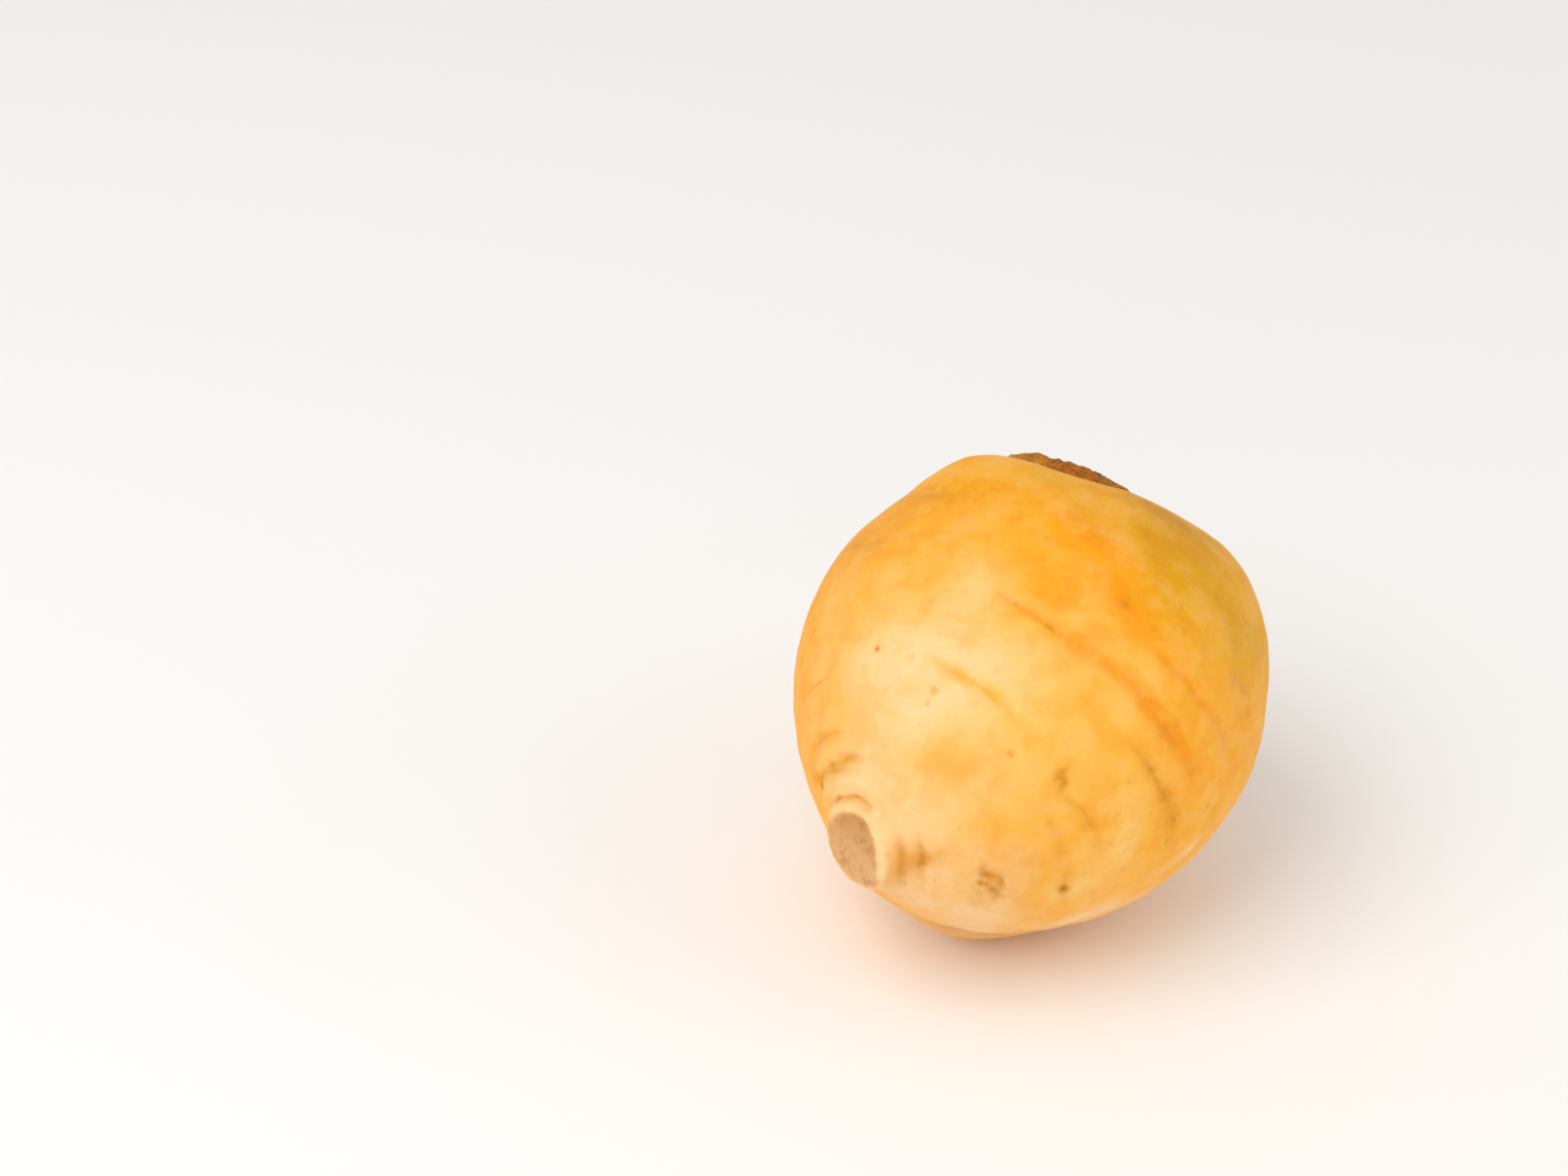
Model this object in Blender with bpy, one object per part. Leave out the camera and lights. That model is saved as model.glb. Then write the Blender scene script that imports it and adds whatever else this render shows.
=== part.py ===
"""A golden turnip trimmed for the kitchen: the swollen root with its tail stub, lying on its side, and the
crown of cut leaf stalks at its other end.

Metres, +Z up. The origin is the middle of the small flat that the root rests on. The tail points
towards -Y and a little towards -X, and the crown points away, towards +Y and a little up.
"""
import math

import bmesh
import bpy
from mathutils import Matrix, Quaternion, Vector

# The root is a ball with broad swells and hollows. Its size, and where its centre stands over the origin.
BALL_RADIUS = 0.0442
CENTRE = Vector((0.0016, 0.0027, 0.0427))

# A direction from the root's centre is an azimuth from +X and an elevation, in degrees.
CROWN = (80.7, 34.9)
TAIL = (-129.5, -5.0)

# Each swell: azimuth, elevation, rise as a share of the ball's radius, and spread in degrees.
FLATTENED_CROWN = (80.7, 34.9, -0.186, 23.7)
TAPER_TO_TAIL = (-120.7, -5.8, 0.205, 19.0)
RIGHT_SHOULDER = (23.3, 22.7, 0.0446, 12.7)
TOP_SHOULDER = (110.8, 60.7, 0.1045, 12.0)
CHIN_UNDER_TAIL = (-120.7, -51.0, 0.062, 9.5)
FLATTER_SIDE = (-30.0, -35.5, -0.046, 36.5)
HEEL = (-100.0, -70.0, 0.018, 16.0)
HOLLOW_BEHIND_HEEL = (95.0, -68.0, -0.024, 20.0)
SWELLS = (
    FLATTENED_CROWN,
    TAPER_TO_TAIL,
    RIGHT_SHOULDER,
    TOP_SHOULDER,
    CHIN_UNDER_TAIL,
    FLATTER_SIDE,
    HEEL,
    HOLLOW_BEHIND_HEEL,
)

# The stub of the taproot: a low knob that ends in a flat scar, cut a little aslant. Its edge and the
# wrinkles round its foot are angles from the tail's direction. Each wrinkle: angle, spread and depth.
STUB_RISE = 0.0034
STUB_EDGE = 8.3
STUB_SOFTNESS = 1.1
SCAR_FACING = (-137.0, 6.0)
SCAR_REACH = 0.0516
SCAR_REGION = 40.0
WRINKLES = ((11.8, 1.5, 0.0011), (16.2, 1.6, 0.0009), (21.0, 1.9, 0.0006))
DEEPEST_WRINKLES = (-170.0, 30.0)

# The round flat seat that the crown of leaf stalks grows from: the distance of its middle from the root's
# centre, the direction it faces, its radius, and the width of the lip round it, over which the skin comes
# back to its own height. All of it lies within SEAT_REGION degrees of the direction it faces.
SEAT_REACH = 0.0334
SEAT_FACING = (71.6, 34.3)
SEAT_RADIUS = 0.0209
SEAT_LIP = 0.0070
SEAT_GAP = 0.0003
SEAT_REGION = 60.0

# The crown: a short stem cut flat, with the cut bases of leaf stalks packed round it.
CROWN_RADIUS = 0.0200
STEM_RADIUS = 0.0118
STEM_HEIGHT = 0.0088
STEM_SLOPE = 2.6
FOOT_HEIGHT = 0.0012
RIM_SQUARENESS = 12
STALK_COUNT = 14
STALK_TURN = math.radians(137.508)
STALK_OUTERMOST = 0.0176
STALK_INNERMOST = 0.0132
STALK_LOWEST = 0.0046
STALK_HIGHEST = 0.0082
STALK_HALF_WIDTH = 0.0100
STALK_HALF_THICKNESS = 0.0022
STALK_TIP_HEIGHT = 0.35
STALK_TIP_THICKNESS = 0.45

# How finely the two meshes are divided.
ROOT_SIDES = 68
ROOT_RINGS = 54
ROOT_POLE_CROWDING = 0.45
CROWN_SIDES = 56
CROWN_RINGS = 32
CROWN_UPPER_SHARE = 0.78


def pointing(azimuth, elevation):
    """Unit vector of an azimuth and an elevation in degrees."""
    level = math.cos(math.radians(elevation))
    turn = math.radians(azimuth)
    return Vector((level * math.cos(turn), level * math.sin(turn), math.sin(math.radians(elevation))))


def degrees_between(one, other):
    """Angle between two unit vectors, in degrees."""
    return math.degrees(math.acos(max(-1.0, min(1.0, one.dot(other)))))


def smooth_step(share):
    """0 at 0 and 1 at 1, level at both ends."""
    return share * share * (3.0 - 2.0 * share)


def hill(distance, middle, spread):
    """A bell curve: 1 at the middle, falling off on both sides."""
    return math.exp(-(((distance - middle) / spread) ** 2))


CROWN_WAY = pointing(*CROWN)
TAIL_WAY = pointing(*TAIL)
SCAR_WAY = pointing(*SCAR_FACING)
SEAT_WAY = pointing(*SEAT_FACING)
SEAT_MIDDLE = CROWN_WAY * SEAT_REACH
DEEP_SIDE = pointing(*DEEPEST_WRINKLES).cross(TAIL_WAY).normalized()


def root_reach(way):
    """Distance from the root's centre to its skin along the unit vector way.

    The ball's radius is raised by each swell in turn. Near the tail the knob stands out, wrinkles ring
    its foot, and the slanting scar cuts its end off. At the crown the skin lies in the seat's plane.
    """
    share = 1.0
    for azimuth, elevation, rise, spread in SWELLS:
        nearness = way.dot(pointing(azimuth, elevation)) - 1.0
        share += rise * math.exp(nearness / math.radians(spread) ** 2)
    reach = BALL_RADIUS * share

    from_tail = degrees_between(way, TAIL_WAY)
    reach += STUB_RISE / (1.0 + math.exp((from_tail - STUB_EDGE) / STUB_SOFTNESS))
    likeness = way.cross(TAIL_WAY).normalized().dot(DEEP_SIDE)
    for middle, spread, depth in WRINKLES:
        reach -= depth * (1.0 + max(0.0, likeness)) / 2.0 * hill(from_tail, middle, spread)

    if from_tail < SCAR_REGION:
        reach = min(reach, SCAR_REACH / way.dot(SCAR_WAY))
    if degrees_between(way, SEAT_WAY) < SEAT_REGION:
        seat = SEAT_MIDDLE.dot(SEAT_WAY) / way.dot(SEAT_WAY)
        lip = ((way * seat - SEAT_MIDDLE).length - SEAT_RADIUS) / SEAT_LIP
        reach = seat + (reach - seat) * smooth_step(max(0.0, min(1.0, lip)))
    return reach


def bent_way(along, around):
    """Unit vector at an angle along the root's bent axis, 0 at the crown and pi at the tail.

    Each ring is a circle about the axis, and the axis turns smoothly from the crown's to the tail's.
    """
    to_tail = CROWN_WAY.rotation_difference(-TAIL_WAY)
    bend = Quaternion().slerp(to_tail, smooth_step(along / math.pi))
    upright = CROWN_WAY.to_track_quat("Z", "Y")
    level = math.sin(along)
    ring_point = Vector((level * math.cos(around), level * math.sin(around), math.cos(along)))
    return bend @ (upright @ ring_point)


def stalk_places():
    """Turn, distance out and height of each cut stalk base, spiralling in and up by the golden angle."""
    for index in range(STALK_COUNT):
        progress = index / (STALK_COUNT - 1)
        out = STALK_OUTERMOST + progress * (STALK_INNERMOST - STALK_OUTERMOST)
        height = STALK_LOWEST + progress * (STALK_HIGHEST - STALK_LOWEST)
        yield index * STALK_TURN, out, height


def crown_height(out, around):
    """Height of the crown over its seat, at a distance from its axis and an angle around it.

    The stem is a flat disc with a sloping side. Each stalk base is a crescent, highest along its middle
    arc and thinning towards its two tips. The highest of them all is taken, and the rim comes down to 0.
    """
    tallest = STEM_HEIGHT - STEM_SLOPE * max(0.0, out - STEM_RADIUS)
    for turn, middle, height in stalk_places():
        aside = math.remainder(around - turn, 2.0 * math.pi) * middle / STALK_HALF_WIDTH
        if abs(aside) < 1.0:
            body = math.sqrt(1.0 - aside * aside)
            thickness = STALK_HALF_THICKNESS * (STALK_TIP_THICKNESS + (1.0 - STALK_TIP_THICKNESS) * body)
            level = height * (STALK_TIP_HEIGHT + (1.0 - STALK_TIP_HEIGHT) * body)
            tallest = max(tallest, level * math.exp(-((out - middle) / thickness) ** 4))
    rim = 1.0 - (out / CROWN_RADIUS) ** RIM_SQUARENESS
    return max(tallest, FOOT_HEIGHT) * max(0.0, rim)


def matte_material(name, colour, roughness):
    material = bpy.data.materials.new(name)
    material.use_nodes = True
    shader = material.node_tree.nodes["Principled BSDF"]
    shader.inputs["Base Color"].default_value = (*colour, 1.0)
    shader.inputs["Roughness"].default_value = roughness
    shader.inputs["Metallic"].default_value = 0.0
    return material


def add_piece(name, shape, material, matrix, collection, parent):
    """Turn a finished bmesh into a smooth shaded object at its place."""
    mesh = bpy.data.meshes.new(name)
    shape.to_mesh(mesh)
    shape.free()
    mesh.materials.append(material)
    mesh.shade_smooth()
    mesh.set_sharp_from_angle(angle=math.radians(40.0))
    piece = bpy.data.objects.new(name, mesh)
    piece.parent = parent
    piece.matrix_local = matrix
    collection.objects.link(piece)
    return piece


def make_root(collection, parent):
    """The root: a sphere with its poles at the crown and the tail, each point moved out to the skin."""
    shape = bmesh.new()
    bmesh.ops.create_uvsphere(shape, u_segments=ROOT_SIDES, v_segments=ROOT_RINGS, radius=1.0)
    for vertex in shape.verts:
        along = math.acos(max(-1.0, min(1.0, vertex.co.z)))
        along -= ROOT_POLE_CROWDING * math.sin(2.0 * along) / 2.0
        around = math.atan2(vertex.co.y, vertex.co.x)
        way = bent_way(along, around)
        vertex.co = way * root_reach(way)

    bmesh.ops.bisect_plane(
        shape, geom=shape.verts[:] + shape.edges[:] + shape.faces[:], dist=0.000001,
        plane_co=(0.0, 0.0, -CENTRE.z), plane_no=(0.0, 0.0, -1.0), clear_outer=True)
    open_edges = [edge for edge in shape.edges if edge.is_boundary]
    bmesh.ops.holes_fill(shape, edges=open_edges, sides=0)
    bmesh.ops.recalc_face_normals(shape, faces=shape.faces[:])
    skin = matte_material("golden_skin", (0.92, 0.52, 0.14), 0.45)
    return add_piece("turnip_root", shape, skin, Matrix.Translation(CENTRE), collection, parent)


def make_crown(collection, parent):
    """The crown: a sphere whose upper rings spread over the relief and whose lower rings close its seat."""
    shape = bmesh.new()
    bmesh.ops.create_uvsphere(shape, u_segments=CROWN_SIDES, v_segments=CROWN_RINGS, radius=1.0)
    for vertex in shape.verts:
        along = math.acos(max(-1.0, min(1.0, vertex.co.z))) / math.pi
        around = math.atan2(vertex.co.y, vertex.co.x)
        if along < CROWN_UPPER_SHARE:
            out = CROWN_RADIUS * math.sqrt(along / CROWN_UPPER_SHARE)
            height = crown_height(out, around)
        else:
            out = CROWN_RADIUS * (1.0 - along) / (1.0 - CROWN_UPPER_SHARE)
            height = 0.0
        vertex.co = (out * math.cos(around), out * math.sin(around), height)

    upright = SEAT_WAY.to_track_quat("Z", "Y").to_matrix().to_4x4()
    place = Matrix.Translation(CENTRE + SEAT_MIDDLE + SEAT_WAY * SEAT_GAP) @ upright
    stalks = matte_material("olive_leaf_stalks", (0.46, 0.34, 0.05), 0.75)
    return add_piece("crown_leaf_bases", shape, stalks, place, collection, parent)


def clear_scene():
    for thing in list(bpy.data.objects):
        bpy.data.objects.remove(thing, do_unlink=True)


def build():
    clear_scene()
    collection = bpy.data.collections.new("turnip")
    bpy.context.scene.collection.children.link(collection)
    whole = bpy.data.objects.new("turnip", None)
    collection.objects.link(whole)
    make_root(collection, whole)
    make_crown(collection, whole)


build()
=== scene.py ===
import math

import bpy
import numpy as np
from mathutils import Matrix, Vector


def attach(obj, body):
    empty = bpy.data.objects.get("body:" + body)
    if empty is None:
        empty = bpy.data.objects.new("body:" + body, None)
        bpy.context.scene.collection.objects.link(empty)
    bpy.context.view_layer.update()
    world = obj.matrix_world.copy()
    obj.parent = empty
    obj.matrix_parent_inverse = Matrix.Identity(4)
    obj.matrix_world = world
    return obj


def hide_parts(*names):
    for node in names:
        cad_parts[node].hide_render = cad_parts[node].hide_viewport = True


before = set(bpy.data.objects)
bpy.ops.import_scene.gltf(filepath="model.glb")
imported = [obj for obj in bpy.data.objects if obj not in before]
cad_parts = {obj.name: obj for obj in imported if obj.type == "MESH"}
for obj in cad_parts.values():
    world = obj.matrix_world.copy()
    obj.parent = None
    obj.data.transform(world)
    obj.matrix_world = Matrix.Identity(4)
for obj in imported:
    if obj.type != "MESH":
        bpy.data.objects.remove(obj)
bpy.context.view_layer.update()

# The view. A long lens looks along +Y and 35 degrees down at the root, which lies a little to the right
# of the middle of the picture and below it. Pixels below are those of a picture of 1600 by 1200.
PICTURE_MIDDLE = np.array((800.0, 600.0))
LENS = 85.0
SENSOR = 36.0
FOCAL_PIXELS = LENS / SENSOR * 2.0 * PICTURE_MIDDLE[0]
LOOKING_DOWN = math.radians(35.0)
ROOT_CENTRE = np.array((0.0016, 0.0027, 0.0427))
EYE = ROOT_CENTRE + np.array((-0.0461, -0.5508, 0.4094))

RIGHTWARDS = np.array((1.0, 0.0, 0.0))
UPWARDS = np.array((0.0, math.sin(LOOKING_DOWN), math.cos(LOOKING_DOWN)))
AHEAD = np.array((0.0, math.cos(LOOKING_DOWN), -math.sin(LOOKING_DOWN)))

camera = bpy.data.objects.new("camera", bpy.data.cameras.new("camera"))
camera.data.lens = LENS
camera.data.sensor_width = SENSOR
camera.data.clip_start = 0.01
camera.location = EYE
camera.rotation_euler = (math.pi / 2.0 - LOOKING_DOWN, 0.0, 0.0)
bpy.context.scene.collection.objects.link(camera)
bpy.context.scene.camera = camera


# The studio: a wide pale floor, a large soft light above and to the left, a low weaker one in front, a
# weaker one on the right, and an even pale sky that fills the shadows.
FLOOR_HALF = 3.0
FLOOR_COLOUR = (0.95, 0.95, 0.945, 1.0)
SKY_COLOUR = (1.0, 0.99, 0.975, 1.0)
SKY_STRENGTH = 0.62
LIGHTS = {
    "key_light": {"at": (-0.55, -0.45, 1.05), "side": 0.9, "power": 7.5},
    "front_light": {"at": (-0.15, -1.10, 0.22), "side": 0.7, "power": 0.9},
    "fill_light": {"at": (0.95, -0.25, 0.55), "side": 0.8, "power": 1.6},
}
LAMP_COLOUR = (1.0, 0.98, 0.95)


def new_material(name):
    """A material with its node tree and its one shader."""
    material = bpy.data.materials.new(name)
    material.use_nodes = True
    return material, material.node_tree, material.node_tree.nodes["Principled BSDF"]


bpy.ops.mesh.primitive_plane_add(size=2.0 * FLOOR_HALF, location=(0.0, 0.0, 0.0))
floor = bpy.context.object
floor.name = "floor"
floor_paint, _, floor_shader = new_material("pale_floor")
floor_shader.inputs["Base Color"].default_value = FLOOR_COLOUR
floor_shader.inputs["Roughness"].default_value = 0.8
floor.data.materials.append(floor_paint)

for name, facts in LIGHTS.items():
    lamp = bpy.data.lights.new(name, "AREA")
    lamp.energy = facts["power"]
    lamp.size = facts["side"]
    lamp.color = LAMP_COLOUR
    light = bpy.data.objects.new(name, lamp)
    light.location = facts["at"]
    light.rotation_euler = (-Vector(facts["at"])).to_track_quat("-Z", "Y").to_euler()
    bpy.context.scene.collection.objects.link(light)

sky = bpy.data.worlds.new("pale_sky")
sky.use_nodes = True
sky.node_tree.nodes["Background"].inputs["Color"].default_value = SKY_COLOUR
sky.node_tree.nodes["Background"].inputs["Strength"].default_value = SKY_STRENGTH
bpy.context.scene.world = sky
bpy.context.scene.view_settings.view_transform = "Standard"


# The root: the swollen taproot of a golden turnip, lying on its side, with the stub of its tail towards
# the viewer. It grew as one piece, so it is one closed surface: a ball raised by broad swells, creased
# across its growth, wrinkled round the tail, and cut flat at the scar and where the crown sits.
BALL_RADIUS = 0.0442
CROWN = (80.7, 34.9)
TAIL = (-129.5, -5.0)
# Swells are azimuth, elevation, rise and spread. Wrinkles are angle from the tail, spread and depth.
SWELLS = {
    "flattened crown": (80.7, 34.9, -0.186, 23.7),
    "taper to the tail": (-120.7, -5.8, 0.205, 19.0),
    "right shoulder": (23.3, 22.7, 0.0446, 12.7),
    "top shoulder": (110.8, 60.7, 0.1045, 12.0),
    "chin under the tail": (-120.7, -51.0, 0.062, 9.5),
    "flatter side": (-30.0, -35.5, -0.046, 36.5),
    "heel": (-100.0, -70.0, 0.018, 16.0),
    "hollow behind the heel": (95.0, -68.0, -0.024, 20.0),
}
STUB_RISE = 0.0034
STUB_EDGE = 8.3
STUB_SOFTNESS = 1.1
SCAR_FACING = (-137.0, 6.0)
SCAR_REACH = 0.0516
SCAR_REGION = 40.0
WRINKLES = ((11.8, 1.3, 0.0009), (15.4, 1.0, 0.0005), (18.6, 1.2, 0.0005), (23.0, 1.6, 0.0004))
DEEPEST_WRINKLES = (-170.0, 30.0)
SEAT_REACH = 0.0334
SEAT_FACING = (71.6, 34.3)
SEAT_RADIUS = 0.0209
SEAT_LIP = 0.0070
SEAT_REGION = 60.0
ROOT_ROWS = 300
ROOT_SIDES = 332
ROOT_POLE_CROWDING = 0.12
ROOT_SIDE_CROWDING = 0.30
ROOT_CROWDED_TURN = math.radians(-60.0)
LEAST_COSINE = 0.3
FAR_OFF = 9.0
WAVE_COUNT = 28
WAVE_LENGTHS = (0.7, 1.5)
WAVE_PEAK = 1.6
RAY_SPAN = (0.60, 0.74)
RAY_STEPS = 900
SCREEN_POWER = 2.2


def pointing(azimuth, elevation):
    """Unit vector of an azimuth from +X and an elevation, in degrees."""
    turn, lift = math.radians(azimuth), math.radians(elevation)
    return np.array((math.cos(lift) * math.cos(turn), math.cos(lift) * math.sin(turn), math.sin(lift)))


def degrees_from(ways, way):
    """Angle of each unit vector from one other, in degrees."""
    return np.degrees(np.arccos(np.clip(ways @ way, -1.0, 1.0)))


def smooth_step(share):
    """0 up to 0, 1 from 1 on, and an even curve between, 3 x squared less 2 x cubed."""
    share = np.clip(share, 0.0, 1.0)
    return share * share * (3.0 - 2.0 * share)


def bell(distance, spread):
    """1 at no distance, falling off on both sides by the bell curve."""
    return np.exp(-((distance / spread) ** 2))


def unit(vectors):
    """Each vector divided by its length."""
    return vectors / np.maximum(np.linalg.norm(vectors, axis=-1, keepdims=True), 1e-12)


CROWN_WAY = pointing(*CROWN)
TAIL_WAY = pointing(*TAIL)
SCAR_WAY = pointing(*SCAR_FACING)
SEAT_WAY = pointing(*SEAT_FACING)
SEAT_MIDDLE = CROWN_WAY * SEAT_REACH


def uncut_reach(ways):
    """Distance from the root's centre to its skin before anything is cut flat.

    The ball's radius times 1 plus each swell's bell curve, plus the stub's low knob, less the wrinkles
    round the stub, which are deepest on one side.
    """
    share = np.ones(len(ways))
    for azimuth, elevation, rise, spread in SWELLS.values():
        nearness = ways @ pointing(azimuth, elevation) - 1.0
        share += rise * np.exp(nearness / math.radians(spread) ** 2)
    from_tail = degrees_from(ways, TAIL_WAY)
    reach = BALL_RADIUS * share + STUB_RISE / (1.0 + np.exp((from_tail - STUB_EDGE) / STUB_SOFTNESS))
    deep_side = unit(np.cross(pointing(*DEEPEST_WRINKLES), TAIL_WAY))
    side = (1.0 + np.maximum(0.0, unit(np.cross(ways, TAIL_WAY)) @ deep_side)) / 2.0
    for middle, spread, depth in WRINKLES:
        reach -= depth * side * bell(from_tail - middle, spread)
    return reach


def seat_plane(ways):
    """Where each direction meets the plane of the crown's seat: how far out from the root's centre, and
    how far from the seat's middle. Directions well away from the seat count as far off."""
    least = math.cos(math.radians(SEAT_REGION))
    reach = (SEAT_MIDDLE @ SEAT_WAY) / np.maximum(ways @ SEAT_WAY, least)
    from_middle = np.linalg.norm(ways * reach[:, None] - SEAT_MIDDLE, axis=1)
    return reach, np.where(ways @ SEAT_WAY > least, from_middle, FAR_OFF)


def cut_reach(ways, reach):
    """The distance after the scar cuts the tail, the seat levels the crown and the rest flat the underside.

    A plane is met at its own distance over the cosine of the angle from its normal. At the scar and the
    rest flat the smaller distance is kept. The seat's plane is blended into the skin over a soft lip.
    """
    scar = SCAR_REACH / np.maximum(ways @ SCAR_WAY, LEAST_COSINE)
    reach = np.where(degrees_from(ways, TAIL_WAY) < SCAR_REGION, np.minimum(reach, scar), reach)
    seat, from_middle = seat_plane(ways)
    reach = seat + (reach - seat) * smooth_step((from_middle - SEAT_RADIUS) / SEAT_LIP)
    return np.minimum(reach, ROOT_CENTRE[2] / np.maximum(-ways[:, 2], LEAST_COSINE))


def bent_ways(along, around):
    """Unit vectors of rings about the root's bent axis, and the same as if the axis were straight.

    Along is 0 at the crown and pi at the tail. Each ring is a circle about the crown's axis, turned
    about the bend's own axis by a share of the whole bend that grows by an even curve from 0 to 1.
    """
    straight = np.stack((np.sin(along) * np.cos(around), np.sin(along) * np.sin(around), np.cos(along)), -1)
    upright = np.array(Vector(CROWN_WAY).to_track_quat("Z", "Y").to_matrix())
    ways = straight @ upright.T
    hinge = unit(np.cross(CROWN_WAY, -TAIL_WAY))
    bend = math.acos(float(CROWN_WAY @ -TAIL_WAY)) * smooth_step(along / math.pi)[:, None]
    lifted = np.cross(np.broadcast_to(hinge, ways.shape), ways)
    kept = hinge * (ways @ hinge)[:, None] * (1.0 - np.cos(bend))
    return ways * np.cos(bend) + lifted * np.sin(bend) + kept, straight


def pole_grid(rows, columns, end):
    """Two values for every point of a grid, ring by ring, between two poles at 0 and the end."""
    first, second = (grid.ravel() for grid in np.meshgrid(rows, columns, indexing="ij"))
    return np.concatenate(((0.0,), first, (end,))), np.concatenate(((0.0,), second, (0.0,)))


def ring_faces(rings, sides):
    """Faces of a closed surface of rings of points between two poles, with quads between the rings and
    triangles to the poles. Point 0 is the first pole and the last point is the other."""
    step = np.arange(sides)
    following = (step + 1) % sides
    start = 1 + sides * np.arange(rings - 1)[:, None]
    quads = np.stack((start + step, start + sides + step, start + sides + following, start + following), -1)
    last_ring = 1 + sides * (rings - 1)
    first = np.stack((np.zeros(sides, int), 1 + step, 1 + following), -1)
    last = np.stack((last_ring + step, np.full(sides, last_ring + sides), last_ring + following), -1)
    return first.tolist() + quads.reshape(-1, 4).tolist() + last.tolist()


def add_surface(name, points, faces, material):
    """A smooth shaded mesh object at the origin, with its place in its points, riding on the one body."""
    mesh = bpy.data.meshes.new(name)
    mesh.from_pydata(points.tolist(), [], faces)
    mesh.update()
    mesh.shade_smooth()
    mesh.materials.append(material)
    piece = bpy.data.objects.new(name, mesh)
    bpy.context.scene.collection.objects.link(piece)
    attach(piece, "root")
    return piece


def paint(piece, **fields):
    """Store named numbers, colours or vectors, one for each point of a piece, as attributes."""
    for name, values in fields.items():
        values = np.asarray(values, np.float32)
        kind, field = ("FLOAT", "value") if values.ndim == 1 else ("FLOAT_VECTOR", "vector")
        piece.data.attributes.new(name, kind, "POINT").data.foreach_set(field, values.ravel())


def wobble(points, height, wave_length, seed):
    """A smooth random field between about minus and plus a height: many cosine waves added up, each with
    a seeded direction, length and phase of its own."""
    draw = np.random.default_rng(seed)
    runs = unit(draw.normal(size=(WAVE_COUNT, 3))) * 2.0 * math.pi
    runs /= wave_length * draw.uniform(*WAVE_LENGTHS, (WAVE_COUNT, 1))
    phases = draw.uniform(0.0, 2.0 * math.pi, WAVE_COUNT)
    waves = np.cos(points @ runs.T + phases).sum(1) * math.sqrt(2.0 / WAVE_COUNT) / WAVE_PEAK
    return height * waves


def seen_at(pixels):
    """Unit vectors from the root's centre to the skin seen at pixels of the picture.

    Each pixel's ray is followed from the eye in small steps until it is first inside the skin. A ray
    that passes beside the root gives the skin nearest to it.
    """
    pixels = np.atleast_2d(np.asarray(pixels, float))
    right, up = ((pixels - PICTURE_MIDDLE) / FOCAL_PIXELS * (1.0, -1.0)).T
    rays = unit(right[:, None] * RIGHTWARDS + up[:, None] * UPWARDS + AHEAD)
    steps = np.linspace(*RAY_SPAN, RAY_STEPS)
    points = (EYE - ROOT_CENTRE) + rays[:, None, :] * steps[:, None]
    away = np.linalg.norm(points, axis=-1)
    ways = points / away[..., None]
    gap = away - uncut_reach(ways.reshape(-1, 3)).reshape(away.shape)
    step = np.where((gap < 0.0).any(1), (gap < 0.0).argmax(1), gap.argmin(1))
    return ways[np.arange(len(pixels)), step]


def smooth_line(points, pieces=6):
    """Points along a smooth curve through the given ones: between two, the cubic whose slopes come from
    the neighbours on each side."""
    padded = np.vstack((2 * points[0] - points[1], points, 2 * points[-1] - points[-2]))
    share = np.linspace(0.0, 1.0, pieces, endpoint=False)[:, None, None]
    before, start, end, after = padded[:-3], padded[1:-2], padded[2:-1], padded[3:]
    second = 2 * before - 5 * start + 4 * end - after
    third = 3 * start - before - 3 * end + after
    curve = 0.5 * (2 * start + (end - before) * share + second * share ** 2 + third * share ** 3)
    return np.vstack((curve.transpose(1, 0, 2).reshape(-1, 3), points[-1:]))


def from_line(ways, line):
    """For each direction: the distance over the skin to a line of directions, the share of the line's
    length where it is nearest, and whether it lies on the crown's side (1) or the tail's (-1)."""
    nearest = np.full(len(ways), FAR_OFF)
    place = np.zeros(len(ways))
    side = np.zeros(len(ways))
    for index in range(len(line) - 1):
        run = line[index + 1] - line[index]
        share = np.clip((ways - line[index]) @ run / (run @ run), 0.0, 1.0)
        gap = ways - line[index] - share[:, None] * run
        away = np.linalg.norm(gap, axis=1)
        closer = away < nearest
        nearest = np.where(closer, away, nearest)
        place = np.where(closer, (index + share) / (len(line) - 1), place)
        side = np.where(closer, np.sign(gap @ CROWN_WAY), side)
    return nearest * BALL_RADIUS, place, side


def linear(red, green, blue):
    """A screen colour from 0 to 255 as the light it stands for, by the screen's power."""
    return (np.array((red, green, blue)) / 255.0) ** SCREEN_POWER


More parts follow.
